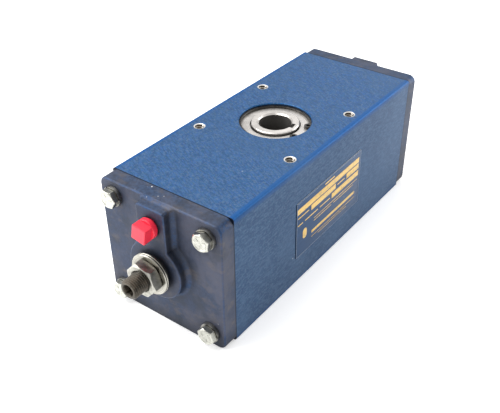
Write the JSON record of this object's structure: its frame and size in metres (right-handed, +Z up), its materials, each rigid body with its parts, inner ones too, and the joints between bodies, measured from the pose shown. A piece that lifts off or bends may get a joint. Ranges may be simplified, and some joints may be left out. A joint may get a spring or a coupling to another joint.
{
  "type": "rotary pneumatic actuator",
  "caption": "Square-bodied rack-and-pinion rotary actuator with a hollow keyed pinion, bolted end caps and stroke-adjusting screws.",
  "frame": {"origin": "centre of the bottom face, on the pinion's axis", "axes": "+X along the cylinder towards the rear end cap, +Z up along the pinion, nameplate on the -Y side"},
  "size_m": [0.2532, 0.0799, 0.0794],
  "materials": {
    "blue_anodised": "satin blue anodised, machined grain",
    "cap_anodised": "dull slate anodised casting",
    "ground_steel": "ground",
    "rack_steel": "machined",
    "zinc_steel": "bright zinc plated",
    "washer_steel": "nickel-grey, lightly worn",
    "black_oxide": "black oxide",
    "rusty_steel": "dark oxide with brown rust",
    "red_plastic": "semi-matt moulded",
    "seal_rubber": "matt",
    "bearing_plastic": "machined acetal",
    "piston_alloy": "turned",
    "nameplate": "printed dark blue foil"
  },
  "bodies": {
    "housing": {"housing": "blue_anodised", "nameplate": "nameplate", "upper_bearing_outer_race": "ground_steel", "upper_retaining_washer": "ground_steel", "upper_retaining_ring": "black_oxide", "lower_bearing_outer_race": "ground_steel", "lower_retaining_washer": "ground_steel", "lower_retaining_ring": "black_oxide", "front_end_cap": "cap_anodised", "front_cap_seal": "seal_rubber", "front_cap_screws": "zinc_steel", "front_cap_lock_washers": "zinc_steel", "front_port_plug": "red_plastic", "front_adjuster_seal": "seal_rubber", "rear_end_cap": "cap_anodised", "rear_cap_seal": "seal_rubber", "rear_cap_screws": "zinc_steel", "rear_cap_lock_washers": "zinc_steel", "rear_port_plug": "red_plastic", "rear_adjuster_seal": "seal_rubber"},
    "pinion": {"pinion": "ground_steel", "upper_bearing_inner_race": "ground_steel", "lower_bearing_inner_race": "ground_steel"},
    "upper_ball_set": {"upper_bearing_balls": "ground_steel", "upper_bearing_cage": "bearing_plastic"},
    "lower_ball_set": {"lower_bearing_balls": "ground_steel", "lower_bearing_cage": "bearing_plastic"},
    "rack": {"rack": "rack_steel", "rack_wear_pad": "bearing_plastic", "front_piston": "piston_alloy", "front_piston_seal": "seal_rubber", "front_piston_wear_ring": "bearing_plastic", "front_piston_screws": "black_oxide", "rear_piston": "piston_alloy", "rear_piston_seal": "seal_rubber", "rear_piston_wear_ring": "bearing_plastic", "rear_piston_screws": "black_oxide"},
    "front_pad": {"front_stop_pad": "bearing_plastic"},
    "front_adjuster": {"front_adjusting_screw": "rusty_steel"},
    "front_washers": {"front_inner_washer": "washer_steel", "front_outer_washer": "washer_steel"},
    "front_nut": {"front_jam_nut": "washer_steel"},
    "rear_pad": {"rear_stop_pad": "bearing_plastic"},
    "rear_adjuster": {"rear_adjusting_screw": "rusty_steel"},
    "rear_washers": {"rear_inner_washer": "washer_steel", "rear_outer_washer": "washer_steel"},
    "rear_nut": {"rear_jam_nut": "washer_steel"}
  },
  "joints": [
    {"name": "pinion_turn", "type": "hinge", "parent": "housing", "child": "pinion", "pos_m": [0, 0, 0.03969], "axis": [0, 0, 1], "range_deg": [-90, 90]},
    {"name": "rack_travel", "type": "slide", "parent": "housing", "child": "rack", "axis": [-1, 0, 0], "range_m": [-0.02592, 0.02592]},
    {"name": "upper_ball_turn", "type": "hinge", "parent": "housing", "child": "upper_ball_set", "pos_m": [0, 0, 0.07157], "axis": [0, 0, 1], "range_deg": [-42, 42]},
    {"name": "lower_ball_turn", "type": "hinge", "parent": "housing", "child": "lower_ball_set", "pos_m": [0, 0, 0.0078], "axis": [0, 0, 1], "range_deg": [-42, 42]},
    {"name": "front_adjuster_travel", "type": "slide", "parent": "housing", "child": "front_pad", "axis": [-1, 0, 0], "range_m": [0, 0.006]},
    {"name": "front_adjuster_turn", "type": "hinge", "parent": "front_pad", "child": "front_adjuster", "pos_m": [-0.10702, 0, 0.03969], "axis": [-1, 0, 0], "range_deg": [0, 1702]},
    {"name": "front_washer_travel", "type": "slide", "parent": "housing", "child": "front_washers", "axis": [-1, 0, 0], "range_m": [0, 0.0025]},
    {"name": "front_nut_turn", "type": "hinge", "parent": "front_washers", "child": "front_nut", "pos_m": [-0.10702, 0, 0.03969], "axis": [-1, 0, 0], "range_deg": [0, 709]},
    {"name": "rear_adjuster_travel", "type": "slide", "parent": "housing", "child": "rear_pad", "axis": [1, 0, 0], "range_m": [0, 0.006]},
    {"name": "rear_adjuster_turn", "type": "hinge", "parent": "rear_pad", "child": "rear_adjuster", "pos_m": [0.10702, 0, 0.03969], "axis": [1, 0, 0], "range_deg": [0, 1702]},
    {"name": "rear_washer_travel", "type": "slide", "parent": "housing", "child": "rear_washers", "axis": [1, 0, 0], "range_m": [0, 0.0025]},
    {"name": "rear_nut_turn", "type": "hinge", "parent": "rear_washers", "child": "rear_nut", "pos_m": [0.10702, 0, 0.03969], "axis": [1, 0, 0], "range_deg": [0, 709]}
  ],
  "couplings": [
    {"joint": "rack_travel", "follows": "pinion_turn", "m_per_rad": 0.0165},
    {"joint": "upper_ball_turn", "follows": "pinion_turn", "ratio": 0.4569},
    {"joint": "lower_ball_turn", "follows": "pinion_turn", "ratio": 0.4569},
    {"joint": "front_adjuster_turn", "follows": "front_adjuster_travel", "rad_per_m": 4947.4},
    {"joint": "front_nut_turn", "follows": "front_washer_travel", "rad_per_m": 4947.4},
    {"joint": "rear_adjuster_turn", "follows": "rear_adjuster_travel", "rad_per_m": 4947.4},
    {"joint": "rear_nut_turn", "follows": "rear_washer_travel", "rad_per_m": 4947.4}
  ]
}
